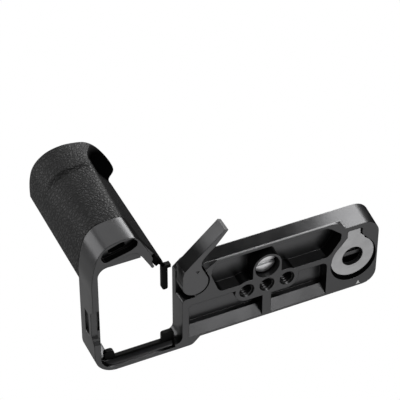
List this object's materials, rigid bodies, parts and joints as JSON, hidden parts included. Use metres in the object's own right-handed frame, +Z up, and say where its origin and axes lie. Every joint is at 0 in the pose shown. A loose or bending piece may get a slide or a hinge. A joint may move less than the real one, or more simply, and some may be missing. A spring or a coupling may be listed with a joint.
{
  "type": "l-shaped camera mount plate",
  "caption": "L-shaped camera base plate with a soft-covered grip handle, battery-door opening closed by a swing arm, captive mounting screw, dovetail edges and a stowed key disc.",
  "frame": {"origin": "axis of the camera screw on the plane where the camera's base sits", "axes": "+Z up into the camera, +X away from the handle along the plate, +Y towards the camera's back"},
  "size_m": [0.1255, 0.0666, 0.0669],
  "materials": {
    "anodised_aluminium": "satin black anodised",
    "soft_cover": "matte with fine leather grain",
    "black_rubber": "smooth matte",
    "bright_steel": "fine turned satin",
    "dark_steel": "blackened",
    "magnet": "nickel plated"
  },
  "bodies": {
    "frame": {"plate_frame": "anodised_aluminium", "handle_cover": "soft_cover", "handle_liner": "black_rubber", "side_foot": "black_rubber", "rail_pad": "black_rubber", "seat_pad_left": "black_rubber", "seat_pad_right": "black_rubber", "key_magnet_left": "magnet", "key_magnet_right": "magnet"},
    "screw": {"camera_screw": "bright_steel", "screw_retainer": "dark_steel"},
    "arm": {"swing_arm": "anodised_aluminium", "arm_pivot_screw": "dark_steel", "arm_washer": "dark_steel", "detent_ball": "dark_steel", "detent_spring": "dark_steel"},
    "key": {"key_disc": "bright_steel"}
  },
  "joints": [
    {"name": "arm_swing", "type": "hinge", "parent": "frame", "child": "arm", "pos_m": [-0.0316, -0.0028, -0.006], "axis": [0, 0, -1], "range_deg": [0, 69]},
    {"name": "screw_turn", "type": "hinge", "parent": "frame", "child": "screw", "pos_m": [0, 0, -0.005], "axis": [0, 0, 1], "continuous": true},
    {"name": "key_out", "type": "slide", "parent": "frame", "child": "key", "axis": [0, 0, -1], "range_m": [0, 0.012]}
  ]
}
